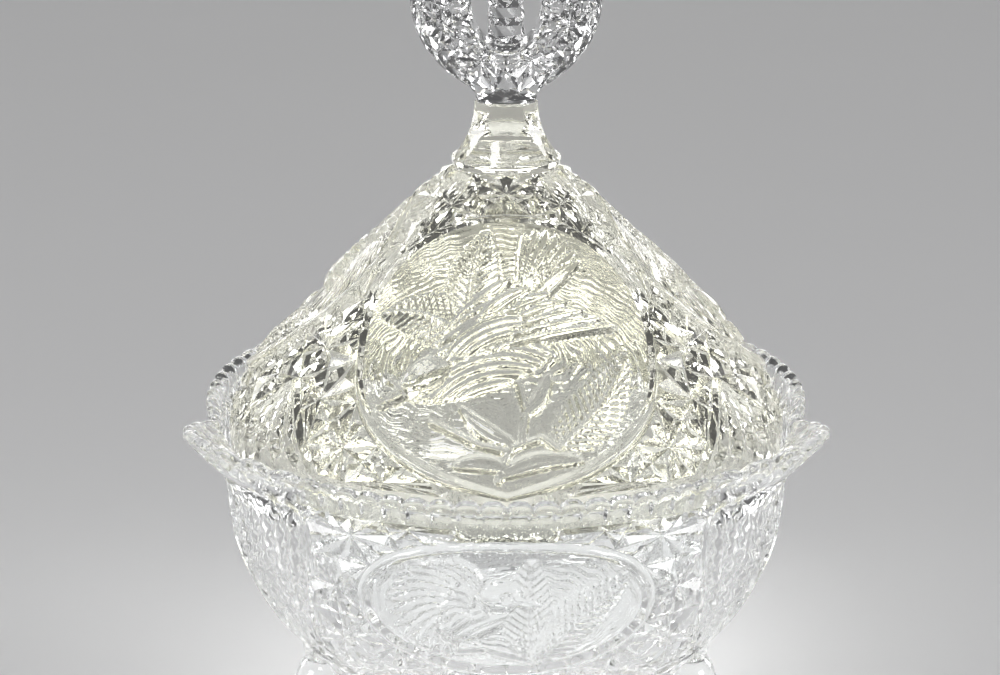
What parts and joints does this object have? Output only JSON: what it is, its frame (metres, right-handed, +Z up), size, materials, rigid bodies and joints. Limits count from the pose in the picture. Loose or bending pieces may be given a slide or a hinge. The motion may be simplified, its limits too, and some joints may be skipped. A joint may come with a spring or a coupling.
{
  "type": "covered candy dish",
  "caption": "Footed pressed-glass candy dish: lobed bowl on knob feet, conical lid with oval bird medallions that lifts off, ring finial with a faceted spindle.",
  "frame": {"origin": "on the surface the feet stand on, at the middle of the dish's bounding box; the dish's axis stands 5.3 mm in front of it, because the rim reaches further back than forward", "axes": "+Z up along the dish's axis, -Y towards the medallion that faces the front, +X to that side's right; the ring finial lies in the XZ direction"},
  "size_m": [0.1654, 0.1746, 0.2131],
  "materials": {
    "clear_glass": "clear colourless pressed glass, fire-polished, with cut-style relief outside and a smooth inside",
    "straw_glass": "clear pressed glass with a faint straw tint, cut-style relief outside and a smooth inside",
    "finial_glass": "clear colourless pressed glass with star-cut faces"
  },
  "bodies": {
    "bowl": {"bowl": "clear_glass"},
    "lid": {"lid": "straw_glass", "finial_ring": "finial_glass", "finial_spindle": "finial_glass"}
  },
  "joints": [
    {"name": "lid_lift", "type": "slide", "parent": "bowl", "child": "lid", "axis": [0, 0, 1], "range_m": [0, 0.1]}
  ]
}
